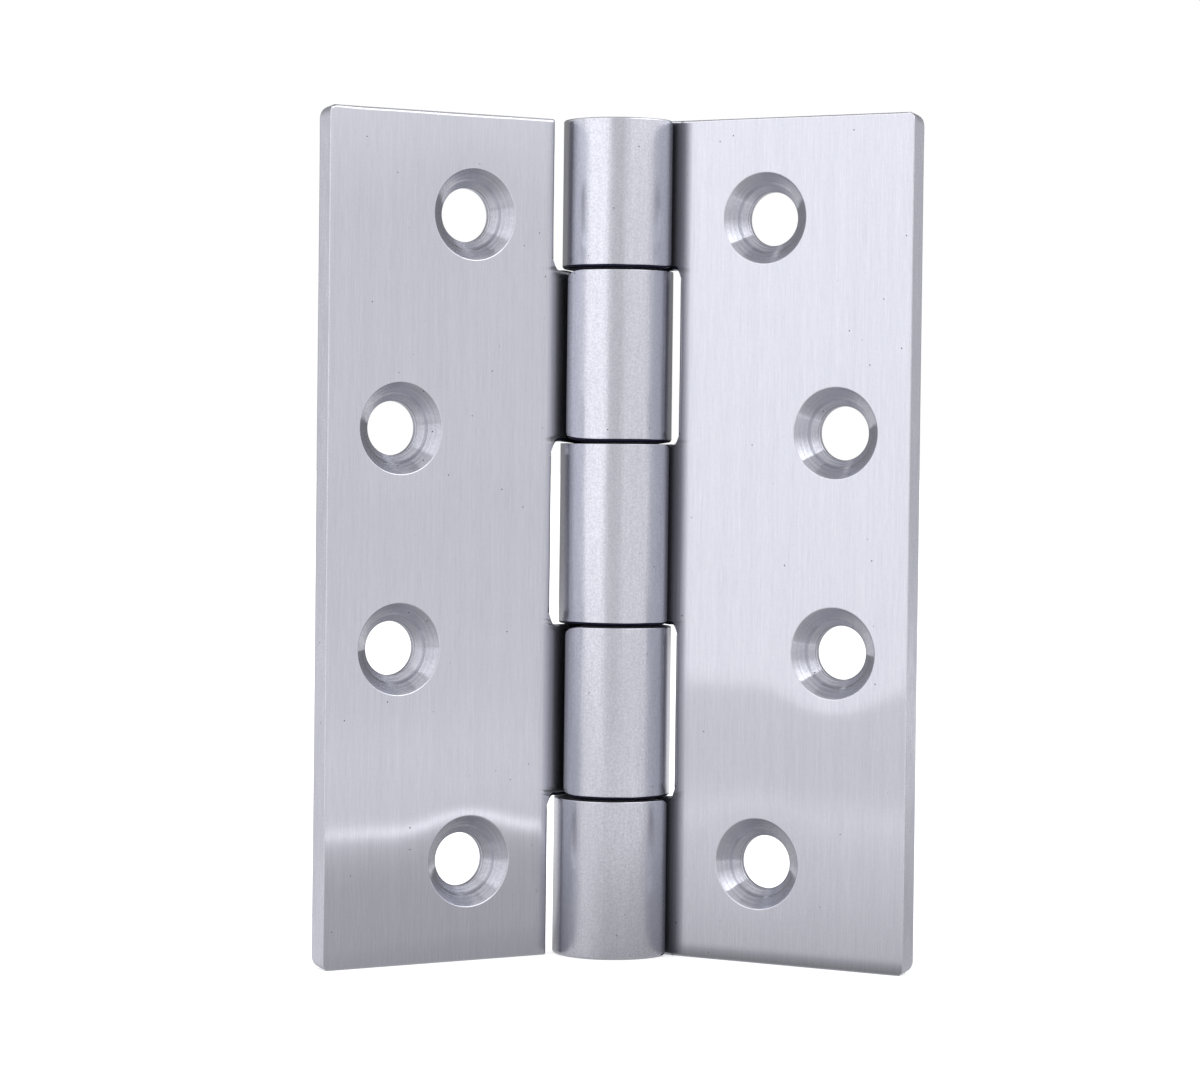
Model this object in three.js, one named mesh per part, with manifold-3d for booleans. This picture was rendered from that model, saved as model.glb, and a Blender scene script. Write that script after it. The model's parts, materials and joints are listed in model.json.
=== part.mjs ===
// Five-knuckle butt hinge, 4 x 3 inch, rolled from 3.2 mm stainless sheet.
// Three pieces: a jamb leaf with three knuckles, a door leaf with two, and the pin that
// carries them. Millimetres, +Z up along the pin. The origin is the middle of the jamb
// leaf's screw pattern, on the back face that lies against the jamb.
import * as THREE from "three";
import { mergeVertices } from "three/addons/utils/BufferGeometryUtils.js";
import Module from "manifold-3d";

const wasm = await Module();
wasm.setup();

// ---- Driving dimensions ----
const HEIGHT = 101.6;
const SHEET = 3.2;
const LEAF_REACH = 38.5;          // pin axis to a leaf's outer edge
const BORE_RADIUS = 3.6;
const PIN_RADIUS = 3.5;
const FACE_SETBACK = 1.5;         // pin axis to a leaf's front face, half the closed gap
const BEND_RADIUS = 2.5;          // inside radius where the sheet turns from leaf to barrel
const OPEN_ANGLE = 120;           // degrees between the leaves as the part is stored
const CORNER_RADIUS = 1.5;        // outer corners of a leaf
const EDGE_BREAK = 0.2;           // chamfer round the ends of each knuckle

const KNUCKLE_LENGTHS = [17.95, 20.7, 21.7, 20.7, 19.35];   // top to bottom
const JOINT_GAP = (HEIGHT - KNUCKLE_LENGTHS.reduce((sum, length) => sum + length))
  / (KNUCKLE_LENGTHS.length - 1);

const NEAR_HOLE = { reach: 19.1, height: 38.8 };          // from the pin axis and mid-height
const FAR_HOLE = { reach: 28.8, height: 13.1 };
const HOLE_RADIUS = 3.22;
const SINK_RADIUS = 5.5;
const SINK_ANGLE = 82;            // degrees, the included angle of a flat-head screw

const PIN_INSET = 0.3;            // pin end below the end of the barrel
const PIN_CHAMFER = 0.6;

// ---- What the dimensions give ----
const BARREL_RADIUS = BORE_RADIUS + SHEET;
const BACK_FACE = FACE_SETBACK + SHEET;
const PATTERN_REACH = (NEAR_HOLE.reach + FAR_HOLE.reach) / 2;
const BEND_CENTRE = new THREE.Vector2(0, BACK_FACE + BEND_RADIUS);
BEND_CENTRE.x = Math.sqrt((BARREL_RADIUS + BEND_RADIUS) ** 2 - BEND_CENTRE.y ** 2);
const BEND_BEARING = Math.atan2(BEND_CENTRE.y, BEND_CENTRE.x);   // seen from the pin axis
const TURN = 2 * Math.PI;
const CLEAR = 1;                  // how far a cutter stands outside what it cuts
const SKIN = 0.05;                // how far an envelope stands outside the surface it follows
const SEAM_TRIM = 0.1;            // how far a corner cutter reaches into the open seam
const SEAM_MIDDLE = 1.1;          // between a roll's free end and the leaf's face, along y

// Arc steps: fine on the barrel, coarser where the curve is short.
const BARREL_STEPS = 60;
const HOLE_STEPS = 48;
const SMALL_ARC_STEPS = 6;

// ---- Helpers ----
function toSolid(geometry) {
  const bare = geometry.clone();
  bare.deleteAttribute("normal");
  bare.deleteAttribute("uv");
  const merged = mergeVertices(bare, 1e-4);
  const triangles = [];
  for (let i = 0; i < merged.index.count; i += 3) {
    const corners = merged.index.array.slice(i, i + 3);
    if (new Set(corners).size === 3) triangles.push(...corners);   // a lathe's pole has flat ones
  }
  return new wasm.Manifold(new wasm.Mesh({
    numProp: 3,
    vertProperties: new Float32Array(merged.attributes.position.array),
    triVerts: new Uint32Array(triangles),
  }));
}

function toGeometry(solid) {
  const { vertProperties, triVerts } = solid.getMesh();
  const geometry = new THREE.BufferGeometry();
  geometry.setAttribute("position", new THREE.BufferAttribute(vertProperties, 3));
  geometry.setIndex(new THREE.BufferAttribute(triVerts, 1));
  return geometry;
}

// Points of an arc, ends included; a negative sweep runs clockwise.
function arc(centreX, centreY, radiusX, radiusY, start, sweep, steps) {
  return Array.from({ length: steps + 1 }, (_, i) => {
    const angle = start + sweep * i / steps;
    return new THREE.Vector2(
      centreX + radiusX * Math.cos(angle), centreY + radiusY * Math.sin(angle));
  });
}

function extrude(points, depth) {
  return new THREE.ExtrudeGeometry(new THREE.Shape(points), { depth, bevelEnabled: false });
}

// ---- One leaf ----
// In a leaf's own frame x runs outwards from the pin axis, y runs backwards from the
// countersunk face, and z is up.

// The bent sheet seen along the pin: flat leaf, swage bend, then the roll round the bore.
// Both sides of the sheet are arcs about the same two centres, so its thickness is constant.
// tabEnd is the bearing of the roll's free end, which stops short of the leaf's face and
// leaves an open seam.
function sheetSection(tabEnd) {
  const bendTurn = Math.PI / 2 - BEND_BEARING;
  const bendStart = BEND_BEARING - Math.PI;
  const rollSweep = TURN + tabEnd - BEND_BEARING;
  return [
    new THREE.Vector2(LEAF_REACH, BACK_FACE),
    new THREE.Vector2(LEAF_REACH, FACE_SETBACK),
    ...arc(BEND_CENTRE.x, BEND_CENTRE.y, BEND_RADIUS + SHEET, BEND_RADIUS + SHEET,
      -Math.PI / 2, -bendTurn, SMALL_ARC_STEPS),
    ...arc(0, 0, BORE_RADIUS, BORE_RADIUS, BEND_BEARING, rollSweep, BARREL_STEPS).slice(1),
    ...arc(0, 0, BARREL_RADIUS, BARREL_RADIUS, tabEnd, -rollSweep, BARREL_STEPS),
    ...arc(BEND_CENTRE.x, BEND_CENTRE.y, BEND_RADIUS, BEND_RADIUS,
      bendStart, bendTurn, SMALL_ARC_STEPS).slice(1),
  ];
}

// The leaf's outline seen from the front, in x and z: rounded outer corners, and on the
// barrel side a notch for each knuckle of the other leaf. A notch root is filled by a
// chamfer, which is where the punch leaves it.
function frontOutline(knuckles, notch) {
  const top = HEIGHT / 2;
  const inside = LEAF_REACH - CORNER_RADIUS;
  const side = -BARREL_RADIUS - CLEAR;
  const points = [
    ...arc(inside, top - CORNER_RADIUS, CORNER_RADIUS, CORNER_RADIUS,
      0, Math.PI / 2, SMALL_ARC_STEPS),
  ];
  let above = top;
  for (const [low, high] of knuckles) {
    if (high < top) {
      const rootTop = above < top ? notch.chamferTop : { x: 0, z: 0 };
      points.push(
        new THREE.Vector2(notch.reach - rootTop.x, above),
        new THREE.Vector2(notch.reach, above - rootTop.z),
        new THREE.Vector2(notch.reach, high + notch.chamferBottom.z),
        new THREE.Vector2(notch.reach - notch.chamferBottom.x, high));
    }
    points.push(new THREE.Vector2(side, high), new THREE.Vector2(side, low));
    above = low;
  }
  if (above > -top) {
    points.push(
      new THREE.Vector2(notch.reach - notch.chamferTop.x, above),
      new THREE.Vector2(notch.reach, above - notch.chamferTop.z),
      new THREE.Vector2(notch.reach, -top));
  }
  points.push(...arc(inside, CORNER_RADIUS - top, CORNER_RADIUS, CORNER_RADIUS,
    -Math.PI / 2, Math.PI / 2, SMALL_ARC_STEPS));
  return points.filter((point, i) => i === 0 || point.distanceTo(points[i - 1]) > 1e-6);
}

// A flat-head screw hole: a cone from the front face down to the clearance hole.
function screwHole({ reach, height }) {
  const slope = Math.tan(THREE.MathUtils.degToRad(SINK_ANGLE / 2));
  const coneDepth = (SINK_RADIUS - HOLE_RADIUS) / slope;
  const profile = [
    new THREE.Vector2(0, FACE_SETBACK - CLEAR),
    new THREE.Vector2(SINK_RADIUS + CLEAR * slope, FACE_SETBACK - CLEAR),
    new THREE.Vector2(HOLE_RADIUS, FACE_SETBACK + coneDepth),
    new THREE.Vector2(HOLE_RADIUS, BACK_FACE + CLEAR),
    new THREE.Vector2(0, BACK_FACE + CLEAR),
  ];
  return new THREE.LatheGeometry(profile, HOLE_STEPS).translate(reach, 0, height);
}

// The rounded corner at a roll's free end. It is drawn flat, in x up the knuckle and in y
// back along the roll, and pushed out from the pin axis along the roll's end face.
function tabCorner(tabEnd, knuckleEnd, inward, clip) {
  const outline = [
    new THREE.Vector2(-CLEAR / 2, -SEAM_TRIM),
    new THREE.Vector2(-CLEAR / 2, clip.along),
    ...arc(clip.up, clip.along, clip.up, clip.along, Math.PI, Math.PI / 2, SMALL_ARC_STEPS),
    new THREE.Vector2(clip.up, -SEAM_TRIM),
  ].map(({ x, y }) => new THREE.Vector2(inward * x, y));
  const outwards = new THREE.Vector3(Math.cos(tabEnd), Math.sin(tabEnd), 0);
  const up = new THREE.Vector3(0, 0, 1);
  const backAlong = new THREE.Vector3().crossVectors(outwards, up);
  const place = new THREE.Matrix4().makeBasis(up, backAlong, outwards);
  place.setPosition(outwards.clone().multiplyScalar(BORE_RADIUS - CLEAR).setZ(knuckleEnd));
  return extrude(outline, SHEET + 2 * CLEAR).applyMatrix4(place);
}

// The space that a leaf may fill: a cylinder with chamfered ends for each knuckle, and on
// the leaf's side of the open seam a block that leaves the sheet as it is.
function chamferedEnvelope(knuckles) {
  const radius = BARREL_RADIUS + SKIN;
  const flatEnd = BARREL_RADIUS - EDGE_BREAK;
  const slope = radius - flatEnd;
  const blockStart = BARREL_RADIUS * Math.cos(BEND_BEARING);
  const blockLength = LEAF_REACH + CLEAR - blockStart;
  const blockDepth = BARREL_RADIUS;
  const block = new THREE.BoxGeometry(blockLength, blockDepth, HEIGHT + 2 * CLEAR)
    .translate(blockStart + blockLength / 2, SEAM_MIDDLE + blockDepth / 2, 0);
  let envelope = toSolid(block);
  for (const [low, high] of knuckles) {
    const profile = [
      new THREE.Vector2(0, low),
      new THREE.Vector2(flatEnd, low),
      new THREE.Vector2(radius, low + slope),
      new THREE.Vector2(radius, high - slope),
      new THREE.Vector2(flatEnd, high),
      new THREE.Vector2(0, high),
    ];
    envelope = envelope.add(
      toSolid(new THREE.LatheGeometry(profile, BARREL_STEPS).rotateX(Math.PI / 2)));
  }
  return envelope;
}

function buildLeaf({ knuckles, notch, tabEnd, clip }) {
  const rolled = toSolid(extrude(sheetSection(tabEnd), HEIGHT).translate(0, 0, -HEIGHT / 2));
  // The outline is drawn in x and z, so its extrusion is stood up to run along y.
  const blank = toSolid(extrude(frontOutline(knuckles, notch), 2 * (BARREL_RADIUS + CLEAR))
    .rotateX(Math.PI / 2).translate(0, BARREL_RADIUS + CLEAR, 0));
  let leaf = rolled.intersect(blank).intersect(chamferedEnvelope(knuckles));
  for (const hole of [NEAR_HOLE, FAR_HOLE]) {
    for (const side of [1, -1]) {
      leaf = leaf.subtract(toSolid(screwHole({ reach: hole.reach, height: side * hole.height })));
    }
  }
  for (const [low, high] of knuckles) {
    leaf = leaf.subtract(toSolid(tabCorner(tabEnd, high, -1, clip)));
    leaf = leaf.subtract(toSolid(tabCorner(tabEnd, low, 1, clip)));
  }
  return toGeometry(leaf);
}

// ---- Knuckles: odd ones from the top belong to the jamb leaf, even ones to the door leaf ----
const spans = [];
let cursor = HEIGHT / 2;
for (const length of KNUCKLE_LENGTHS) {
  spans.push([cursor - length, cursor]);
  cursor -= length + JOINT_GAP;
}
const jambSpans = spans.filter((_, i) => i % 2 === 0);
const doorSpans = spans.filter((_, i) => i % 2 === 1);
// The door leaf is the same section turned over about the leaf's normal, so its heights flip.
const turnedOver = doorSpans.map(([low, high]) => [-high, -low]).reverse();

const leafSteel = { color: 0xc6c6d0, roughness: 0.34, metalness: 1 };
const pinSteel = { color: 0x9a9aa4, roughness: 0.28, metalness: 1 };

function part(name, geometry, finish) {
  const mesh = new THREE.Mesh(geometry, new THREE.MeshStandardMaterial(finish));
  mesh.name = name;
  return mesh;
}

const jambLeaf = part("jamb_leaf", buildLeaf({
  knuckles: jambSpans,
  notch: { reach: 7.75, chamferTop: { x: 0.6, z: 0.6 }, chamferBottom: { x: 0.5, z: 1.6 } },
  tabEnd: THREE.MathUtils.degToRad(6),
  clip: { along: 1.2, up: 0.5 },
}), leafSteel);

const doorLeaf = part("door_leaf", buildLeaf({
  knuckles: turnedOver,
  notch: { reach: 8.15, chamferTop: { x: 0.8, z: 1.1 }, chamferBottom: { x: 0.8, z: 1.1 } },
  tabEnd: THREE.MathUtils.degToRad(3),
  clip: { along: 2.4, up: 1.0 },
}), leafSteel);
doorLeaf.rotation.y = Math.PI;

const pinEnd = HEIGHT / 2 - PIN_INSET;
const pinProfile = [
  new THREE.Vector2(0, -pinEnd),
  new THREE.Vector2(PIN_RADIUS - PIN_CHAMFER, -pinEnd),
  new THREE.Vector2(PIN_RADIUS, PIN_CHAMFER - pinEnd),
  new THREE.Vector2(PIN_RADIUS, pinEnd - PIN_CHAMFER),
  new THREE.Vector2(PIN_RADIUS - PIN_CHAMFER, pinEnd),
  new THREE.Vector2(0, pinEnd),
];
const hingePin = part("hinge_pin", new THREE.LatheGeometry(pinProfile, HOLE_STEPS), pinSteel);
hingePin.rotation.x = Math.PI / 2;

// ---- Assembly: both leaves hang on the pin axis, the door leaf swung shut from flat ----
const swing = new THREE.Group();
swing.rotation.z = THREE.MathUtils.degToRad(180 - OPEN_ANGLE);
swing.add(doorLeaf);

const onPin = new THREE.Group();
onPin.position.set(-PATTERN_REACH, -BACK_FACE, 0);
onPin.add(jambLeaf, hingePin, swing);

const hinge = new THREE.Group();
hinge.add(onPin);

export default hinge;
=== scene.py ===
"""A five-knuckle butt hinge in brushed stainless steel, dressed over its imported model.

Each leaf is one bent sheet. Its two sides are worked out as functions of u, the distance
along the sheet from the leaf's outer edge, and z, the height; the holes, the walls and the
rounded edges follow from that. Metres throughout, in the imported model's frame.
"""

import json
import math

import bpy
import numpy as np
from mathutils import Matrix, Vector


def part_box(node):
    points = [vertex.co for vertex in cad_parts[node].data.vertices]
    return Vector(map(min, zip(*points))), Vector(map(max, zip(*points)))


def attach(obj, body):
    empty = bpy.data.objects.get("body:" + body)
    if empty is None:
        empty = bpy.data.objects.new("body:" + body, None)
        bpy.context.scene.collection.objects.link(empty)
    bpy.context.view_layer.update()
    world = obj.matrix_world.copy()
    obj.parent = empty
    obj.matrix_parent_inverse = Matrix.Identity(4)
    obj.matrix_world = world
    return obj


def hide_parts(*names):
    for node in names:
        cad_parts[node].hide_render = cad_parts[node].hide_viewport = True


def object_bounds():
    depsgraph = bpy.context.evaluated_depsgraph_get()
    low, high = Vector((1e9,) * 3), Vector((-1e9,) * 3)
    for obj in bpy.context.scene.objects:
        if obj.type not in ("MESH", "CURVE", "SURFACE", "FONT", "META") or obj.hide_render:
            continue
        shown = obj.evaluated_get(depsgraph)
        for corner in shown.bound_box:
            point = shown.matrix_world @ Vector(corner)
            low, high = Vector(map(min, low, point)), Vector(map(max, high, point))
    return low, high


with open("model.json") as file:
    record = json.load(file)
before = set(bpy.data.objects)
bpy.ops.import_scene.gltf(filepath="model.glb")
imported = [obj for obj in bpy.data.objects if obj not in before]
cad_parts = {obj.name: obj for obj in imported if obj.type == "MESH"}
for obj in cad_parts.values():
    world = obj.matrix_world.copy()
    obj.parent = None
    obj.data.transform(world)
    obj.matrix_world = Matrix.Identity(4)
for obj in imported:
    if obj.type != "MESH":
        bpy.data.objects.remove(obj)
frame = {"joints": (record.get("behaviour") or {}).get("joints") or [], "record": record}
cad_low, cad_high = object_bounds()

MM = 0.001

# ---- Sizes read from the frame ----
swing = frame["joints"][0]
mounts = {mount["name"]: mount for mount in frame["record"]["mounts"]}
jamb_low, jamb_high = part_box("jamb_leaf")
pin_low, pin_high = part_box("hinge_pin")

PIN_AXIS = np.array(swing["pos_m"])
HALF_HEIGHT = jamb_high.z
LEAF_REACH = jamb_high.x - PIN_AXIS[0]
BARREL_RADIUS = PIN_AXIS[0] - jamb_low.x
BACK_FACE = mounts["jamb_leaf_back"]["pos_m"][1] - PIN_AXIS[1]
PIN_RADIUS = (pin_high.x - pin_low.x) / 2
PIN_HALF = pin_high.z
FLOOR_HEIGHT = cad_low.z

# The door leaf's back face looks along its mount's axis, the jamb leaf's along +Y.
door_back = mounts["door_leaf_back"]["axis"]
DOOR_SWING = math.atan2(-door_back[0], door_back[1])

# ---- Driving dimensions that the frame doesn't state ----
SHEET = 3.2 * MM
BEND_RADIUS = 2.5 * MM
BACK_CORNER = (1.6 * MM, 1.5 * MM)      # a blanked corner: rolled over on the back
FACE_CORNER = (0.35 * MM, 1.0 * MM)     # and nearly square on the countersunk face
KNUCKLE_LENGTHS = np.array([18.2, 20.7, 21.45, 20.7, 19.35]) * MM   # from the top
NEAR_HOLE = (19.1 * MM, 38.8 * MM)      # from the pin axis and from mid-height
FAR_HOLE = (28.8 * MM, 13.1 * MM)
HOLE_RADIUS = 3.22 * MM
SINK_RADIUS = 5.5 * MM
TOOL_RING = ((4.18 * MM, 1.57 * MM), (4.14 * MM, 1.67 * MM))    # the mark of the cutter's
                                        # shoulder, as (radius, depth) of its two edges
SINK_DEPTH = 2.52 * MM
PIN_CHAMFER = 0.6 * MM

BORE_RADIUS = BARREL_RADIUS - SHEET
MID_SHEET = SHEET / 2
BEND_Y = BACK_FACE + BEND_RADIUS
BEND_X = math.sqrt((BARREL_RADIUS + BEND_RADIUS) ** 2 - BEND_Y ** 2)
BEND_BEARING = math.atan2(BEND_Y, BEND_X)
FLAT_LENGTH = LEAF_REACH - BEND_X
BEND_LENGTH = (BEND_RADIUS + MID_SHEET) * (math.pi / 2 - BEND_BEARING)
ROLL_MID = BORE_RADIUS + MID_SHEET
# Each pair of holes: where along the sheet, and how far above and below mid-height.
HOLES = [(LEAF_REACH - from_pin, height) for from_pin, height in (NEAR_HOLE, FAR_HOLE)]

# ---- Wear and workmanship ----
EDGE_ROUNDING = 0.5 * MM                # the widest: the back of a leaf's outer edge
# The others are shares of it:
LOW_EDGE_ROUNDING = 0.6                 # that edge at its foot
FACE_EDGE_ROUNDING = 0.24               # the outer edge's front
LOW_RIM_ROUNDING = 0.4                  # the leaf's bottom
KNUCKLE_ROUNDING = 0.7                  # the knuckles' lower ends
BURRED_ROUNDING = 0.22                  # their burred upper ends, in the joints
BARREL_TOP_ROUNDING = 0.4
SEAM_ROUNDING = 0.4                     # the roll's free end
HOLE_ROUNDING = 0.15
PIN_ROUNDING = 0.7
NOTCH_ROOM = 0.8                        # the most that the grid's cells have room for at
CORNER_ROOM = 0.4                       # the notches and at the leaf's corners
RAGGED = 0.4                            # how unevenly the rims were broken
RAGGED_STEPS = (0.8 * MM, 3 * MM)       # and how fast that changes, along u and z
FACE_WAVE = 0.03 * MM                   # how far hand grinding leaves the flats from flat
FACE_WAVE_STEPS = (13 * MM, 17 * MM)
ROLL_WAVE = 0.05 * MM                   # and the barrel from round
ROLL_WAVE_STEPS = (3.1 * MM, 11 * MM)
DISH_DEPTH = 0.025 * MM                 # how far pressing the countersink drew its rim in,
DISH_REACH = 4.5 * MM                   # and how far out that is felt
TAIL_TURN = math.radians(40)            # the last part of a roll, which the rollers miss
LOOSE_ROLL = (math.radians(150), math.radians(210))     # where a knuckle leaves its true round
# How far each knuckle stands out past there and how much further at its free end, counted
# from the top.
KNUCKLES_PROUD = [(0.0, 0.34 * MM), (0.0, 0.23 * MM), (0.0, 0.34 * MM),
                  (0.25 * MM, -0.24 * MM), (0.34 * MM, 0.26 * MM)]
END_LEAN = 0.5 * MM                     # how far a knuckle's ends lean across the sheet
LEAN_TURNS = 4 * MM                     # how near mid-height the lean turns over
RUNNING_GAP = 0.25 * MM                 # between two knuckles that have worn together
SEAM_SHADE = math.radians(8)            # how much of the roll's free end is darkened with painted shade, in the crevice by the leaf
JOINT_SHADE = 0.35                      # painted shade on the knuckles' lower ends, in the joints
NOTCH_DARKENING = 0.09                       # darkening on the edges of the notches
LOW_DARKENING = 0.08                      # how much darker the barrel's colour is towards the bottom, below mid-height
DARKENING_REACH = 25 * MM
LAND_SHADE = 0.4                        # painted shade in the straight part of a screw hole

# ---- Mesh fineness ----
CELL = 0.6 * MM                         # leaf grid
FINE_CELL = 0.45 * MM                   # next to edges that are rounded
CORNER_CELL = 0.53 * MM
PATCH_HALF = 7.2 * MM                   # half the side of the square of grid round a hole
PATCH_RINGS = 5
CONE_RINGS = 12
LAND_RINGS = 3
ROLL_STEP = math.radians(3)
PIN_SEGMENTS = 144
SHARP = math.radians(30)                # a turn between two faces that gets rounded
HAIR = 0.1 * MM                         # what counts as the same place on the grid


# ---- The sheet as a surface ----
def sheet_point(u, depth, proud=0):
    """A point of the bent sheet seen along the pin, in the leaf's own frame.

    u runs along the sheet's middle from the outer edge: straight for the flat leaf, then an
    arc about the bend's centre, then an arc about the pin. depth is measured from the middle
    of the sheet along its normal, towards the face that becomes the barrel's outside.
    proud is how far the roll stands out from its true radius. x runs out from the pin, y
    backwards from the countersunk face.
    """
    after_flat = u - FLAT_LENGTH
    bend = math.pi / 2 - np.clip(after_flat, 0, BEND_LENGTH) / (BEND_RADIUS + MID_SHEET)
    roll = BEND_BEARING + np.maximum(after_flat - BEND_LENGTH, 0) / ROLL_MID
    on_flat = after_flat <= 0
    on_roll = after_flat >= BEND_LENGTH
    facing = np.where(on_roll, roll, bend)
    normal_x, normal_y = np.cos(facing), np.sin(facing)
    bend_reach = BEND_RADIUS + MID_SHEET
    roll_reach = ROLL_MID + proud
    x = np.where(on_roll, roll_reach * normal_x, BEND_X - bend_reach * normal_x)
    y = np.where(on_roll, roll_reach * normal_y, BEND_Y - bend_reach * normal_y)
    x = np.where(on_flat, LEAF_REACH - u, x)
    y = np.where(on_flat, BACK_FACE - MID_SHEET, y)
    normal_x = np.where(on_flat, 0, normal_x)
    normal_y = np.where(on_flat, 1, normal_y)
    return x + depth * normal_x, y + depth * normal_y


def stops(places, spacings):
    """Positions from the first place to the last, each stretch cut evenly into cells of
    about the given spacing."""
    line = [np.array(places[:1])]
    for start, end, spacing in zip(places, places[1:], spacings):
        cells = max(1, round((end - start) / spacing))
        line.append(np.linspace(start, end, cells + 1)[1:])
    return np.concatenate(line)


def smooth_ramp(t):
    """0 below 0, 1 above 1, and 3t^2 - 2t^3 between them."""
    t = np.clip(t, 0, 1)
    return t * t * (3 - 2 * t)


def round_corner(u, z, corner_u, corner_z, reach_u, reach_z):
    """Rounds a square corner of the (u, z) grid into a quarter ellipse.

    Measured from the corner's centre as p and q between 0 and 1, a point moves to
    p * sqrt(1 - q^2 / 2), q * sqrt(1 - p^2 / 2), which takes the square onto the disc and
    leaves the two inner sides where they are. reach_u and reach_z are signed, towards the
    corner.
    """
    p = (u - (corner_u - reach_u)) / reach_u
    q = (z - (corner_z - reach_z)) / reach_z
    inside = (p > 0) & (q > 0) & (p < 1.001) & (q < 1.001)
    new_u = corner_u - reach_u + reach_u * p * np.sqrt(np.maximum(1 - q * q / 2, 0))
    new_z = corner_z - reach_z + reach_z * q * np.sqrt(np.maximum(1 - p * p / 2, 0))
    return np.where(inside, new_u, u), np.where(inside, new_z, z)


def uneven(u, z, step_u, step_z, seed):
    """Smooth random heights from -1 to 1: random numbers on a lattice of the two steps,
    joined along u and along z by 3t^2 - 2t^3."""
    lattice = np.random.default_rng(seed).uniform(-1, 1, (128, 128))
    place_u, place_z = u / step_u, (z + HALF_HEIGHT) / step_z
    i, j = np.floor(place_u).astype(int), np.floor(place_z).astype(int)
    share_u, share_z = smooth_ramp(place_u - i), smooth_ramp(place_z - j)
    near = lattice[i, j] * (1 - share_z) + lattice[i, j + 1] * share_z
    far = lattice[i + 1, j] * (1 - share_z) + lattice[i + 1, j + 1] * share_z
    return near * (1 - share_u) + far * share_u


def coned(x, y, z):
    """Heights with the knuckles' ends leant, so that no light passes straight between them.

    The shift grows with the distance from the pin through the sheet's thickness, and fades
    to none on the leaf. It turns from down to up at mid-height as a tanh and fades at the
    barrel's two ends as 1 - t^8. It depends only on that distance and on z, so facing ends
    stay parallel as they turn.
    """
    distance = np.hypot(x, y)
    across = np.clip((distance - ROLL_MID) / SHEET, -0.5, 0.5)
    fade = smooth_ramp((BARREL_RADIUS + SHEET - distance) / SHEET)
    upward = np.tanh(z / LEAN_TURNS) * (1 - np.abs(z / HALF_HEIGHT) ** 8)
    return z + END_LEAN * across * fade * upward


def out_of_round(u, end_u, body, tail):
    """How far a knuckle stands out from its true radius. From the first bearing of
    LOOSE_ROLL to the second it grows by body as 3t^2 - 2t^3, and over the last stretch, where
    the rollers miss it, by tail as t^2."""
    bearing = BEND_BEARING + (u - FLAT_LENGTH - BEND_LENGTH) / ROLL_MID
    fullness = smooth_ramp((bearing - LOOSE_ROLL[0]) / (LOOSE_ROLL[1] - LOOSE_ROLL[0]))
    t = np.clip(1 - (end_u - u) / (TAIL_TURN * ROLL_MID), 0, 1)
    return body * fullness + tail * t * t


def skin(u, z, side, seed, proud=0):
    """A point of one side of the finished sheet: side is 1 for the back, which becomes the
    barrel's outside, and -1 for the countersunk face. The surface lies below its nominal
    height by an uneven depth, a shallow long wave on the flats and a deeper one round the
    roll, and the face by a dish round each countersink, as (1 - t)^2 from its rim out."""
    rolled = smooth_ramp((u - FLAT_LENGTH) / BEND_LENGTH) if side > 0 else 0
    flat_wave = FACE_WAVE * (1 + uneven(u, z, *FACE_WAVE_STEPS, seed)) / 2
    roll_wave = ROLL_WAVE * (1 + uneven(u, z, *ROLL_WAVE_STEPS, seed + 1)) / 2
    hollow = flat_wave * (1 - rolled) + roll_wave * rolled
    if side < 0:
        for hole_u, height in HOLES:
            from_hole = np.hypot(u - hole_u, np.abs(z) - height)
            t = np.clip((from_hole - SINK_RADIUS) / DISH_REACH, 0, 1)
            hollow = hollow + DISH_DEPTH * (1 - t) ** 2
    x, y = sheet_point(u, side * (MID_SHEET - hollow), proud)
    return x, y, coned(x, y, z)


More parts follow.
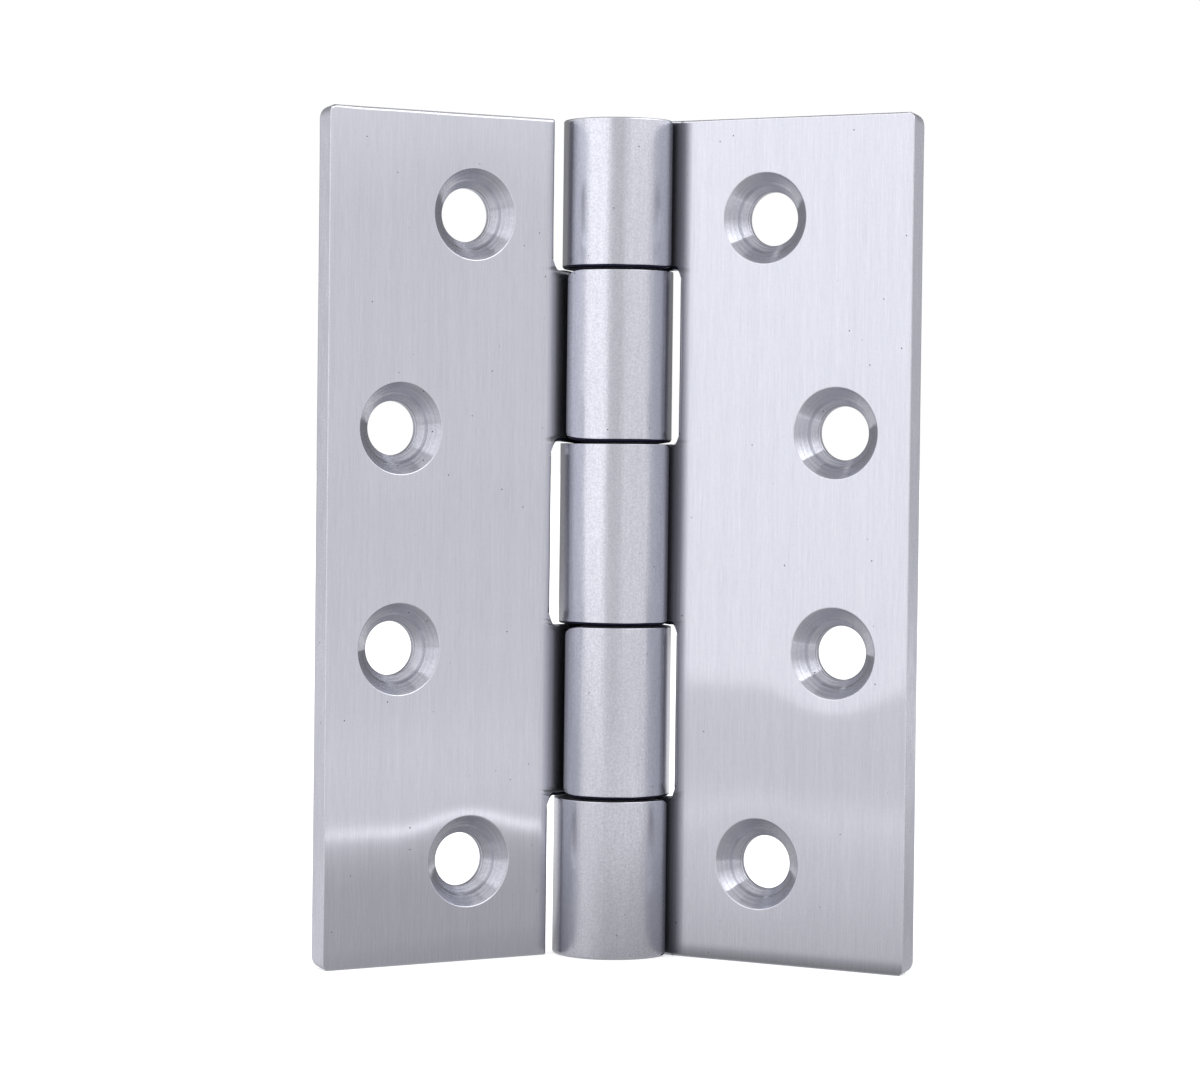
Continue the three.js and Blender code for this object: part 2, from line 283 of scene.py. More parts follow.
class Steel:
    """Collects vertices with their rounding and their two darkenings, mostly painted shade, one
    for the surfaces and one for the edges, and faces with grain coordinates and finish numbers."""

    def __init__(self):
        self.points = []
        self.traits = []
        self.faces = []
        self.grain = []
        self.finish = []
        self.count = 0

    def add_points(self, x, y, z, rounding=HOLE_ROUNDING, grime=0.0, edge_dark=0.0):
        """Adds points and returns their numbers, in the shape of the arrays given."""
        x, y, z, *traits = np.broadcast_arrays(x, y, z, rounding, grime, edge_dark)
        self.points.append(np.stack([x, y, z], -1).reshape(-1, 3))
        self.traits.append(np.stack(traits, -1).reshape(-1, 3))
        numbers = self.count + np.arange(x.size).reshape(x.shape)
        self.count += x.size
        return numbers

    def add_quads(self, corners, across, along, finish):
        """Adds quads. corners, across and along are lists of four arrays; across and along
        are the distances across and along the grain at each corner."""
        self.faces.append(np.stack([np.ravel(c) for c in corners], -1))
        coordinates = [np.stack([np.ravel(a), np.ravel(b)], -1) for a, b in zip(across, along)]
        self.grain.append(np.stack(coordinates, 1))
        self.finish.append(np.broadcast_to(finish, self.faces[-1].shape[0]))

    def mesh(self, name):
        """The mesh, with a quad that has two corners at one point made a triangle."""
        used, faces = np.unique(np.concatenate(self.faces), return_inverse=True)
        faces = faces.reshape(-1, 4)
        kept = faces != np.roll(faces, 1, 1)
        sizes = kept.sum(1)
        points = np.concatenate(self.points)[used]
        rounding, grime, edge_dark = np.concatenate(self.traits)[used].T

        mesh = bpy.data.meshes.new(name)
        mesh.vertices.add(len(used))
        mesh.vertices.foreach_set("co", points.astype(np.float32).ravel())
        mesh.loops.add(sizes.sum())
        mesh.loops.foreach_set("vertex_index", faces[kept].astype(np.int32))
        mesh.polygons.add(len(faces))
        starts = np.append(0, np.cumsum(sizes)[:-1])
        mesh.polygons.foreach_set("loop_start", starts.astype(np.int32))
        mesh.polygons.foreach_set("material_index",
                                  np.concatenate(self.finish).astype(np.int32))
        mesh.update(calc_edges=True)
        layer = mesh.uv_layers.new(name="grain")
        grain = np.concatenate(self.grain)[kept]
        layer.data.foreach_set("uv", grain.astype(np.float32).ravel())
        for darkening_attribute, amount in (("grime", grime), ("packed_dirt", edge_dark)):
            layer = mesh.attributes.new(darkening_attribute, "FLOAT", "POINT")
            layer.data.foreach_set("value", amount.astype(np.float32))
        mark_sharp_edges(mesh, sizes, rounding)
        mesh.validate()
        mesh.shade_smooth()
        return mesh


def mark_sharp_edges(mesh, sizes, rounding):
    """Gives each edge between faces that turn by more than SHARP a bevel weight, the mean of
    its two ends' rounding."""
    edge_of_corner = np.empty(len(mesh.loops), np.int32)
    mesh.loops.foreach_get("edge_index", edge_of_corner)
    face_of_corner = np.repeat(np.arange(len(sizes)), sizes)
    beside = face_of_corner[np.argsort(edge_of_corner, kind="stable")].reshape(-1, 2)
    normals = np.empty(3 * len(mesh.polygons), np.float32)
    mesh.polygons.foreach_get("normal", normals)
    first, second = normals.reshape(-1, 3)[beside].transpose(1, 0, 2)
    ends = np.empty(2 * len(mesh.edges), np.int32)
    mesh.edges.foreach_get("vertices", ends)
    weight = rounding[ends.reshape(-1, 2)].mean(1)
    weight[(first * second).sum(1) > math.cos(SHARP)] = 0
    layer = mesh.attributes.new("bevel_weight_edge", "FLOAT", "EDGE")
    layer.data.foreach_set("value", weight.astype(np.float32))


# ---- The leaves ----
FACE, ROLLED, CUT_EDGE, COUNTERSINK = range(4)


def leaf_rows():
    """Heights spread evenly up the leaf, with a row through the middle of each hole."""
    corner = HALF_HEIGHT - BACK_CORNER[1]
    middles = [side * height for _, height in HOLES for side in (-1, 1)]
    places = sorted([-HALF_HEIGHT, -corner, corner, HALF_HEIGHT]
                    + [middle + side * PATCH_HALF for middle in middles for side in (-1, 0, 1)])
    spacings = [CELL] * (len(places) - 1)
    spacings[0] = spacings[-1] = CORNER_CELL
    return stops(places, spacings)


class LeafGrid:
    """The grid of (u, z) that a leaf is drawn on, in the leaf's own frame.

    spans are the knuckles' lowest and highest points, notch_reach how far the notches
    between them reach from the pin axis, and tab_end how far round the roll passes its
    start. root is the fill left in a notch's corner and clip the rounding at the roll's free
    end, both as (along u, up).
    """

    def __init__(self, spans, notch_reach, root, tab_end, clip):
        self.notch_u = LEAF_REACH - notch_reach
        self.end_u = (FLAT_LENGTH + BEND_LENGTH
                      + ROLL_MID * (2 * math.pi + tab_end - BEND_BEARING))
        self.columns, self.notch_i = self.spread_columns(root[0], clip[0])
        self.rows = leaf_rows()
        # The rows at each knuckle's lower and upper end, its fill counted in.
        self.ends = np.array([[np.abs(self.rows - low + root[1]).argmin(),
                               np.abs(self.rows - high - root[1]).argmin()]
                              for low, high in spans])
        self.u = np.repeat(self.columns[:, None], len(self.rows), 1)
        self.z = self.bent_rows(spans, root)
        for low, high in spans:
            for edge, side in ((low, -1), (high, 1)):
                self.u, self.z = round_corner(self.u, self.z, self.end_u, edge, clip[0],
                                              side * clip[1])

    def spread_columns(self, root_reach, clip_reach):
        """Places along u: the plate with its hole patches, then the bend and the roll. Also
        the number of the column that the notches reach."""
        near_u, far_u = [hole_u for hole_u, _ in HOLES]
        plate = stops(
            [0, BACK_CORNER[0], far_u - PATCH_HALF, far_u, near_u, near_u + PATCH_HALF,
             self.notch_u - 2 * FINE_CELL, self.notch_u],
            [CORNER_CELL, CELL, CELL, CELL, CELL, CELL, FINE_CELL])
        roll = stops(
            [self.notch_u, self.notch_u + root_reach, FLAT_LENGTH, FLAT_LENGTH + BEND_LENGTH,
             self.end_u - clip_reach, self.end_u],
            [root_reach / 4, FINE_CELL, FINE_CELL, ROLL_STEP * ROLL_MID, FINE_CELL])
        return np.concatenate([plate, roll[1:]]), len(plate) - 1

    def bent_rows(self, spans, root):
        """Heights that are the rows' own on the plate and bend onto the knuckles' edges.

        An edge widens into the notch's corner as (1 - t)^2 over the root's length. Between
        two edges the rows are spread evenly, and from the last hole's patch to the notch
        they move over as 3t^2 - 2t^3.
        """
        fill = root[1] * (1 - np.clip((self.columns - self.notch_u) / root[0], 0, 1)) ** 2
        edges = {0: np.full(len(self.columns), -HALF_HEIGHT),
                 len(self.rows) - 1: np.full(len(self.columns), HALF_HEIGHT)}
        for (low, high), (first, last) in zip(spans, self.ends):
            edges[first] = np.maximum(low - fill, -HALF_HEIGHT)
            edges[last] = np.minimum(high + fill, HALF_HEIGHT)
        edge_rows = sorted(edges)
        bent = np.array([np.interp(np.arange(len(self.rows)), edge_rows, heights)
                         for heights in zip(*[edges[row] for row in edge_rows])])
        last_patch = HOLES[0][0] + PATCH_HALF
        pull = smooth_ramp((self.columns - last_patch) / (self.notch_u - last_patch))
        return self.rows + pull[:, None] * (bent - self.rows)

    def with_corners(self, reach):
        """The grid with the leaf's two outer corners rounded by reach, as (along u, up)."""
        u, z = self.u, self.z
        for side in (-1, 1):
            u, z = round_corner(u, z, 0, side * HALF_HEIGHT, -reach[0], side * reach[1])
        return u, z

    def steel_cells(self):
        """Which cells hold steel: the whole plate, and beyond it only the knuckles."""
        cells = np.zeros((len(self.columns) - 1, len(self.rows) - 1), bool)
        cells[:self.notch_i] = True
        for first, last in self.ends:
            cells[:, first:last] = True
        return cells

    def patches(self):
        """Each hole's middle, and the square of grid round it as its first and last column
        and its first and last row."""
        found = []
        for hole_u, height in HOLES:
            columns = [np.abs(self.columns - hole_u - side * PATCH_HALF).argmin()
                       for side in (-1, 1)]
            for middle in (height, -height):
                rows = [np.abs(self.rows - middle - side * PATCH_HALF).argmin()
                        for side in (-1, 1)]
                found.append(((hole_u, middle), (*columns, *rows)))
        return found


def leaf_swell(grid, proud):
    """How far the grid's points stand out from round. proud holds each knuckle's body and
    tail, as out_of_round takes them."""
    swell = np.zeros(grid.u.shape)
    for (first, last), (body, tail) in zip(grid.ends, proud):
        swell[:, first:last + 1] = out_of_round(grid.columns, grid.end_u, body, tail)[:, None]
    return swell


def leaf_rounding(grid, top_rim, seed, upright):
    """How far the edges at the grid's points are rounded, on the front and on the back, as
    shares of EDGE_ROUNDING.

    All rims are a little ragged, and the knuckles' upper ends keep a burr. The leaf's outer
    edge is rolled over on the back, more towards the top.
    """
    top, upper = (-1, 1) if upright > 0 else (0, 0)
    ends = np.full(len(grid.rows), KNUCKLE_ROUNDING)
    ends[grid.ends[:, upper]] = BURRED_ROUNDING
    ends[top] = BARREL_TOP_ROUNDING
    ragged = 1 + RAGGED * uneven(grid.u, grid.z, *RAGGED_STEPS, seed + 2)
    knuckle = np.minimum(ends * ragged, NOTCH_ROOM)
    knuckle[-1] = SEAM_ROUNDING

    raised = (1 + upright * grid.rows / HALF_HEIGHT) / 2
    rim = np.minimum(np.where(raised > 0.5, top_rim, LOW_RIM_ROUNDING) * ragged, 1)
    front = np.where(grid.u > grid.notch_u - HAIR, knuckle, rim)
    back = front.copy()
    front[0] = FACE_EDGE_ROUNDING
    back[0] = LOW_EDGE_ROUNDING + (1 - LOW_EDGE_ROUNDING) * raised
    in_corner = ((grid.columns < BACK_CORNER[0] - HAIR)[:, None]
                 & (np.abs(grid.rows) > HALF_HEIGHT - BACK_CORNER[1] + HAIR))
    for rounding in (front, back):
        rounding[in_corner] = np.minimum(rounding[in_corner], CORNER_ROOM)
    return front, back


def leaf_darkening(grid, barrel_shade, upright):
    """Darkening of the colour at the grid's points, on the front and on the back, and on the
    rounded edges.

    It is painted shade in the bore, at the roll's free end where it meets the leaf, on the
    lower ends of the knuckles, and on the face beside the barrel, where the barrel shades it.
    Low on the barrel the colour is darker towards the bottom. The edges of the joints and of
    the free end are darkened with painted shade, and the notches' edges a little. The second
    argument gives the painted shade beside the barrel: its strength, its reach from the
    barrel, and how much of that reach it thins out over.
    """
    # Painted shade on the knuckles' lower ends, in the joints.
    lower_ends = grid.ends[:, 0 if upright > 0 else 1]
    in_joint = np.zeros(grid.u.shape)
    for row in lower_ends[(lower_ends > 0) & (lower_ends < len(grid.rows) - 1)]:
        in_joint[:, row] = grid.u[:, row] > grid.notch_u
    # Painted shade in the crevice at the roll's free end.
    at_seam = smooth_ramp(1 - (grid.end_u - grid.u) / (SEAM_SHADE * ROLL_MID))
    # The barrel's colour is darker towards the bottom.
    low_down = smooth_ramp(-upright * grid.z / DARKENING_REACH) * (grid.u > FLAT_LENGTH)
    back = np.maximum(at_seam, JOINT_SHADE * in_joint)
    back = np.maximum(back, LOW_DARKENING * low_down)

    # Painted shade on the edges of the joints and of the free end; the notches' edges a little
    # darker.
    edge_dark = np.maximum(at_seam, in_joint)
    edge_dark[grid.notch_i] = np.maximum(edge_dark[grid.notch_i], NOTCH_DARKENING)

    # Painted shade on the face beside the barrel, and over the whole bore.
    strength, reach, thins_over = barrel_shade
    beside_barrel = LEAF_REACH - grid.u - BARREL_RADIUS
    shade_film = strength * smooth_ramp((reach - beside_barrel) / thins_over)
    return np.where(grid.u > FLAT_LENGTH, 1.0, shade_film), back, edge_dark


def corner_lists(table, cells):
    """A table's values at the four corners of grid cells, anticlockwise in (u, z)."""
    i, j = cells
    return [table[i, j], table[i + 1, j], table[i + 1, j + 1], table[i, j + 1]]


def leaf_mesh(name, grid, proud, barrel_shade, top_rim, seed, upright, place):
    """One leaf as a closed shell.

    proud is as in leaf_swell, and the painted shade beside the barrel is given as the
    function that works out the leaf's darkening takes it. top_rim is the rounding of the top
    edge. upright is 1 when the leaf's own z points up in the assembled hinge and -1 when the
    leaf is turned over. place turns the leaf's own frame into the row's.
    """
    steel = Steel()
    swell = leaf_swell(grid, proud)
    front_rounding, back_rounding = leaf_rounding(grid, top_rim, seed, upright)
    front_shade, back_darkening, edge_dark = leaf_darkening(grid, barrel_shade, upright)
    front = steel.add_points(*skin(*grid.with_corners(FACE_CORNER), -1, seed, swell),
                             front_rounding, front_shade, edge_dark)
    back = steel.add_points(*skin(*grid.with_corners(BACK_CORNER), 1, seed, swell),
                            back_rounding, back_darkening, edge_dark)

    plain = grid.steel_cells()
    for _, (i0, i1, j0, j1) in grid.patches():
        plain[i0:i1, j0:j1] = False
    cells = np.nonzero(plain)
    across, along = corner_lists(grid.u, cells), corner_lists(grid.z, cells)
    finish = np.where(across[0] >= FLAT_LENGTH - HAIR, ROLLED, FACE)
    steel.add_quads(corner_lists(back, cells), across, along, finish)
    steel.add_quads(corner_lists(front, cells)[::-1], across[::-1], along[::-1], finish)

    add_walls(steel, grid, front, back)
    for middle, patch in grid.patches():
        add_hole(steel, grid, front, back, middle, patch, seed)

    mesh = steel.mesh(name)
    mesh.transform(place)
    return mesh


def add_walls(steel, grid, front, back):
    """A strip through the sheet at every grid edge that has steel on one side only."""
    padded = np.pad(grid.steel_cells(), 1)
    for axis in (0, 1):
        inside = padded[1:, 1:-1] if axis == 0 else padded[1:-1, 1:]
        before = padded[:-1, 1:-1] if axis == 0 else padded[1:-1, :-1]
        measure = grid.z if axis == 0 else grid.u
        for starts in (True, False):
            i, j = np.nonzero(inside & ~before if starts else before & ~inside)
            i_next, j_next = (i, j + 1) if axis == 0 else (i + 1, j)
            if starts == (axis == 1):
                i, i_next, j, j_next = i_next, i, j_next, j
            steel.add_quads(
                [back[i, j], back[i_next, j_next], front[i_next, j_next], front[i, j]],
                [np.zeros(len(i))] * 2 + [np.full(len(i), SHEET)] * 2,
                [measure[i, j], measure[i_next, j_next], measure[i_next, j_next],
                 measure[i, j]],
                CUT_EDGE)


def add_hole(steel, grid, front, back, middle, patch, seed):
    """A countersunk hole in a square patch of the grid.

    On each side of the sheet the square's outline shrinks along rays to a circle. A cone in
    two slopes, which meet at the mark of the cutter's flank, and a short straight land join
    the two circles.
    """
    i0, i1, j0, j1 = patch
    i = np.concatenate([np.arange(i0, i1), np.full(j1 - j0, i1),
                        np.arange(i1, i0, -1), np.full(j1 - j0, i0)])
    j = np.concatenate([np.full(i1 - i0, j0), np.arange(j0, j1),
                        np.full(i1 - i0, j1), np.arange(j1, j0, -1)])
    rim_u, rim_z = grid.u[i, j] - middle[0], grid.z[i, j] - middle[1]
    reach = np.hypot(rim_u, rim_z)
    ray_u, ray_z = rim_u / reach, rim_z / reach
    share = (np.arange(PATCH_RINGS) / PATCH_RINGS)[:, None]

    circles = []
    for numbers, radius, side in ((back, HOLE_RADIUS, 1), (front, SINK_RADIUS, -1)):
        distance = radius + share * (reach - radius)
        ring_u, ring_z = middle[0] + distance * ray_u, middle[1] + distance * ray_z
        rings = steel.add_points(*skin(ring_u, ring_z, side, seed))
        rings = np.vstack([rings, numbers[i, j]])
        ring_u = np.vstack([ring_u, grid.u[i, j]])
        ring_z = np.vstack([ring_z, grid.z[i, j]])
        corners, across, along = [
            [table[1:], np.roll(table[1:], -1, 1), np.roll(table[:-1], -1, 1), table[:-1]]
            for table in (rings, ring_u, ring_z)]
        if side < 0:
            corners, across, along = corners[::-1], across[::-1], along[::-1]
        steel.add_quads(corners, across, along, FACE)
        circles.append(rings[0])
    back_circle, front_circle = circles

    # Rings down the cone, then down the land. Slant is measured along the profile.
    radii, depths = zip((SINK_RADIUS, 0), *TOOL_RING, (HOLE_RADIUS, SINK_DEPTH))
    flank = stops(depths, [SINK_DEPTH / CONE_RINGS] * 3)
    land = np.linspace(SINK_DEPTH, SHEET, LAND_RINGS + 1)
    down = np.concatenate([flank, land[1:]])
    radius = np.interp(down, depths, radii)
    slant = np.append(0, np.cumsum(np.hypot(np.diff(radius), np.diff(down))))
    x, y = sheet_point(middle[0] + radius[1:-1, None] * ray_u, down[1:-1, None] - MID_SHEET)
    height = middle[1] + radius[1:-1, None] * ray_z
    # Painted shade in the straight land of the hole.
    darkening_share = LAND_SHADE * (down[1:-1, None] >= SINK_DEPTH)
    wall = steel.add_points(x, y, height, grime=darkening_share)
    wall = np.vstack([front_circle, wall, back_circle])
    slant = np.repeat(slant[:, None], wall.shape[1] + 1, 1)
    turn = np.unwrap(np.arctan2(ray_z, ray_u))
    turn = np.append(turn, turn[0] + 2 * math.pi) * SINK_RADIUS
    turn = np.repeat(turn[None, :], wall.shape[0], 0)
    next_wall = np.roll(wall, -1, 1)
    on_cone = np.repeat(np.arange(len(down) - 1) < len(flank) - 1, wall.shape[1])
    steel.add_quads(
        [next_wall[:-1], wall[:-1], wall[1:], next_wall[1:]],
        [slant[:-1, 1:], slant[:-1, :-1], slant[1:, :-1], slant[1:, 1:]],
        [turn[:-1, 1:], turn[:-1, :-1], turn[1:, :-1], turn[1:, 1:]],
        np.where(on_cone, COUNTERSINK, CUT_EDGE))


# ---- The pin ----
PIN_FLANK, PIN_END = range(2)


def lathe_mesh(name, profile, finishes, place):
    """A closed solid of revolution. profile is a list of (radius, height) with the first
    and last points on the axis; finishes holds the finish of each stretch between points."""
    steel = Steel()
    profile = np.array(profile)
    turn = np.linspace(0, 2 * math.pi, PIN_SEGMENTS, endpoint=False)
    radius, height = profile[:, :1], profile[:, 1:]
    rings = steel.add_points(radius * np.cos(turn), radius * np.sin(turn),
                             height + 0 * turn, PIN_ROUNDING)
    rings[0], rings[-1] = rings[0, 0], rings[-1, 0]
    slant = np.append(0, np.cumsum(np.hypot(*np.diff(profile, axis=0).T)))
    slant = np.repeat(slant[:, None], PIN_SEGMENTS + 1, 1)
    around = np.repeat(np.append(turn, 2 * math.pi)[None, :] * PIN_RADIUS, len(profile), 0)
    ahead = np.roll(rings, -1, 1)
    finish = np.repeat(np.array(finishes)[:, None], PIN_SEGMENTS, 1)
    steel.add_quads(
        [rings[:-1], ahead[:-1], ahead[1:], rings[1:]],
        [slant[:-1, :-1], slant[:-1, 1:], slant[1:, 1:], slant[1:, :-1]],
        [around[:-1, :-1], around[:-1, 1:], around[1:, 1:], around[1:, :-1]],
        finish.ravel())
    mesh = steel.mesh(name)
    mesh.transform(place)
    return mesh


# ---- Materials ----
SHADE_AND_SOIL = "#27273A"                        # the dark colour of painted shade, and of the pits
DARKENING_DULLS = 0.25                       # how much it adds to the roughness
TONES = (0.3, 0.7)                      # between these nearly all of the noise lies
PIT_RADIUS = 0.1 * MM
PIT_DEPTH = 0.01 * MM


def linear(code):
    """An sRGB hex colour as linear RGBA."""
    value = np.array([int(code[k:k + 2], 16) for k in (1, 3, 5)]) / 255
    value = np.where(value <= 0.04045, value / 12.92, ((value + 0.055) / 1.055) ** 2.4)
    return (*value, 1.0)


def add(tree, kind, inputs=None, **settings):
    """Adds a node, sets its properties, and sets or links its inputs. A node given as an
    input is linked by its first output."""
    node = tree.nodes.new(kind)
    for name, value in settings.items():
        setattr(node, name, value)
    for name, value in (inputs or {}).items():
        if isinstance(value, bpy.types.Node):
            value = value.outputs[0]
        if isinstance(value, bpy.types.NodeSocket):
            tree.links.new(value, node.inputs[name])
        else:
            node.inputs[name].default_value = value
    return node


def worked_steel(name, dark, light, roughness, anisotropic, lines, grit, pits, darkening_share,
                 darkening_attribute="grime"):
    """Stainless steel that was worked in one direction.

    lines are (width, length, share, height) of the marks the abrasive leaves: noise drawn
    out along the grain. Their shares add up to a tone that moves the colour from dark to
    light and the roughness with it, and their heights stand up as relief. grit is the
    (size, share, height) of the grain left between the lines, and pits the distance between
    the specks that polishing opened, which darken too. The last but one argument is how far
    the steel darkens, mostly as painted shade, where the attribute named by the last is 1.
    """
    material = bpy.data.materials.new(name)
    material.use_nodes = True
    tree = material.node_tree
    tree.nodes.clear()
    grain = add(tree, "ShaderNodeUVMap", uv_map="grain")
    solid = add(tree, "ShaderNodeTexCoord").outputs["Object"]

    size, grit_share, height = grit
    noise = add(tree, "ShaderNodeTexNoise", {"Vector": solid, "Scale": 1 / size, "Detail": 2.0})
    relief = add(tree, "ShaderNodeMath", {0: noise, 1: height}, operation="MULTIPLY")
    tone = add(tree, "ShaderNodeMath", {0: noise, 1: grit_share}, operation="MULTIPLY")
    for width, length, share, height in lines:
        drawn_out = add(tree, "ShaderNodeMapping", {
            "Vector": grain, "Scale": (1 / width, 1 / length, 1.0)})
        noise = add(tree, "ShaderNodeTexNoise", {
            "Vector": drawn_out, "Scale": 1.0, "Detail": 2.0, "Roughness": 0.6},
            noise_dimensions="2D")
        relief = add(tree, "ShaderNodeMath", {0: noise, 1: height, 2: relief},
                     operation="MULTIPLY_ADD")
        tone = add(tree, "ShaderNodeMath", {0: noise, 1: share * (1 - grit_share), 2: tone},
                   operation="MULTIPLY_ADD")

    speck = add(tree, "ShaderNodeTexVoronoi", {"Vector": solid, "Scale": 1 / pits})
    pitted = add(tree, "ShaderNodeMapRange", {
        "Value": speck, "From Min": PIT_RADIUS / pits, "From Max": PIT_RADIUS / pits / 2,
        "To Min": 0.0, "To Max": 1.0})
    relief = add(tree, "ShaderNodeMath", {0: pitted, 1: -PIT_DEPTH, 2: relief},
                 operation="MULTIPLY_ADD")
    # The darkening attribute, mostly painted shade, and the pits darken and dull the steel.
    grime = add(tree, "ShaderNodeAttribute", attribute_name=darkening_attribute).outputs["Fac"]
    shade_and_soil = add(tree, "ShaderNodeMath", {0: grime, 1: darkening_share, 2: pitted},
               operation="MULTIPLY_ADD", use_clamp=True)

    lightness = add(tree, "ShaderNodeMapRange", {
        "Value": tone, "From Min": TONES[0], "From Max": TONES[1],
        "To Min": 0.0, "To Max": 1.0})
    clean = add(tree, "ShaderNodeMix", {
        "Factor": lightness, "A": linear(dark), "B": linear(light)}, data_type="RGBA")
    colour = add(tree, "ShaderNodeMix", {
        "Factor": shade_and_soil, "A": clean.outputs["Result"], "B": linear(SHADE_AND_SOIL)},
        data_type="RGBA")
    shine = add(tree, "ShaderNodeMapRange", {
        "Value": tone, "From Min": TONES[0], "From Max": TONES[1],
        "To Min": roughness[1], "To Max": roughness[0]})
    dulled = add(tree, "ShaderNodeMath", {0: shade_and_soil, 1: DARKENING_DULLS, 2: shine},
                 operation="MULTIPLY_ADD")
    bumps = add(tree, "ShaderNodeBump", {"Strength": 1.0, "Distance": 1.0, "Height": relief})
    tangent = add(tree, "ShaderNodeTangent", direction_type="UV_MAP", uv_map="grain")
    shader = add(tree, "ShaderNodeBsdfPrincipled", {
        "Base Color": colour.outputs["Result"], "Metallic": 1.0, "Roughness": dulled,
        "Anisotropic": anisotropic, "Normal": bumps, "Tangent": tangent})
    add(tree, "ShaderNodeOutputMaterial", {"Surface": shader})
    return material


def brushed_stainless_face():
    """304 stainless drawn under a fine belt, one way, up the leaf. It mirrors softly to the
    sides and almost sharply along the lines, which show as a fine upright grain."""
    return worked_steel(
        "brushed_stainless_face", "#BBBCC6", "#C9CAD3", (0.08, 0.105), 1.0,
        [(0.14 * MM, 3.5 * MM, 0.5, 0.0009 * MM), (0.4 * MM, 16 * MM, 0.3, 0.0015 * MM),
         (1.8 * MM, 60 * MM, 0.2, 0.003 * MM)],
        (0.22 * MM, 0.25, 0.0001 * MM), 2.3 * MM, 0.9)


def polished_rolled_stainless():
    """The same sheet rolled round the pin and polished by hand on a cloth wheel. Broad bands
    of light run up it, a little wavy, with a satin speckle left from the sheet's skin."""
    return worked_steel(
        "polished_rolled_stainless", "#BABBC5", "#D8D9E2", (0.17, 0.24), 0.5,
        [(0.2 * MM, 4 * MM, 0.45, 0.0012 * MM), (0.9 * MM, 14 * MM, 0.35, 0.012 * MM),
         (2.6 * MM, 40 * MM, 0.2, 0.03 * MM)],
        (0.24 * MM, 0.6, 0.005 * MM), 2.0 * MM, 0.9)


def sheared_stainless_edge():
    """The sheet's cut edges, sheared and linished. Duller than the faces, with short marks."""
    return worked_steel(
        "sheared_stainless_edge", "#C6C7D3", "#DBDCE7", (0.22, 0.36), 0.5,
        [(0.2 * MM, 3 * MM, 0.6, 0.003 * MM), (0.7 * MM, 9 * MM, 0.4, 0.008 * MM)],
        (0.3 * MM, 0.25, 0.003 * MM), 2.3 * MM, 0.97)


def turned_countersink():
    """The cone that a countersinking bit cut. Its rings gather the light into a bright wedge
    with ragged sides, as each ring leans a little differently."""
    return worked_steel(
        "turned_countersink", "#A6A7B1", "#C4C5CE", (0.14, 0.26), 1.0,
        [(0.1 * MM, 14 * MM, 0.5, 0.006 * MM), (0.34 * MM, 40 * MM, 0.3, 0.028 * MM),
         (3 * MM, 0.8 * MM, 0.2, 0.002 * MM)],
        (0.25 * MM, 0.25, 0.001 * MM), 1.6 * MM, 0.9)


def tumbled_edge_break():
    """Edges broken by tumbling in stones. Bright, with no grain, and black with painted shade
    where two knuckles meet, over the whole of the rounding."""
    return worked_steel(
        "tumbled_edge_break", "#C3C4CD", "#D2D3DB", (0.18, 0.3), 0.0,
        [(0.3 * MM, 1.5 * MM, 1.0, 0.004 * MM)],
        (0.3 * MM, 0.25, 0.004 * MM), 2.3 * MM, 8.0, "packed_dirt")


def oil_dark_pin():
    """The pin's flank, coloured nearly black as painted shade, since it shows only in the joints
    between the knuckles.
    """
    return worked_steel(
        "oil_dark_pin", "#26262D", "#35353D", (0.35, 0.5), 0.0,
        [(0.3 * MM, 3 * MM, 1.0, 0.002 * MM)], (0.3 * MM, 0.25, 0.002 * MM), 2.3 * MM, 0.0)


def faced_pin_end():
    """The pin's ends, faced off on a lathe and left as cut."""
    return worked_steel(
        "faced_pin_end", "#A6A7B0", "#BDBEC7", (0.2, 0.32), 0.8,
        [(0.12 * MM, 8 * MM, 1.0, 0.004 * MM)], (0.3 * MM, 0.25, 0.002 * MM), 2.3 * MM, 0.0)


# ---- Making the pieces ----
def finished(mesh, materials, body, node):
    """A piece from its mesh, named as the mesh is, with its edges rounded. The last of its
    materials is the edges'."""
    piece = bpy.data.objects.new(mesh.name, mesh)
    bpy.context.scene.collection.objects.link(piece)
    for material in materials:
        mesh.materials.append(material)
    bevel = piece.modifiers.new("edge_break", "BEVEL")
    bevel.width = EDGE_ROUNDING
    bevel.segments = 3
    bevel.limit_method = "WEIGHT"
    bevel.use_clamp_overlap = False
    bevel.harden_normals = True
    bevel.material = len(materials) - 1
    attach(piece, body)
    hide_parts(node)
    return piece


# The lengths leave equal joints, which wear and burrs have closed to RUNNING_GAP.
joint_gap = (2 * HALF_HEIGHT - KNUCKLE_LENGTHS.sum()) / (len(KNUCKLE_LENGTHS) - 1)
tops = HALF_HEIGHT - np.append(0, np.cumsum(KNUCKLE_LENGTHS + joint_gap)[:-1])
bottoms = tops - KNUCKLE_LENGTHS
closer = (joint_gap - RUNNING_GAP) / 2
spans = list(zip(np.maximum(bottoms - closer, -HALF_HEIGHT),
                 np.minimum(tops + closer, HALF_HEIGHT)))
on_pin = Matrix.Translation(PIN_AXIS)

# In the order of FACE, ROLLED, CUT_EDGE and COUNTERSINK, and the edges' last.
leaf_finishes = [brushed_stainless_face(), polished_rolled_stainless(),
                 sheared_stainless_edge(), turned_countersink(), tumbled_edge_break()]
pin_finishes = [oil_dark_pin(), faced_pin_end()]

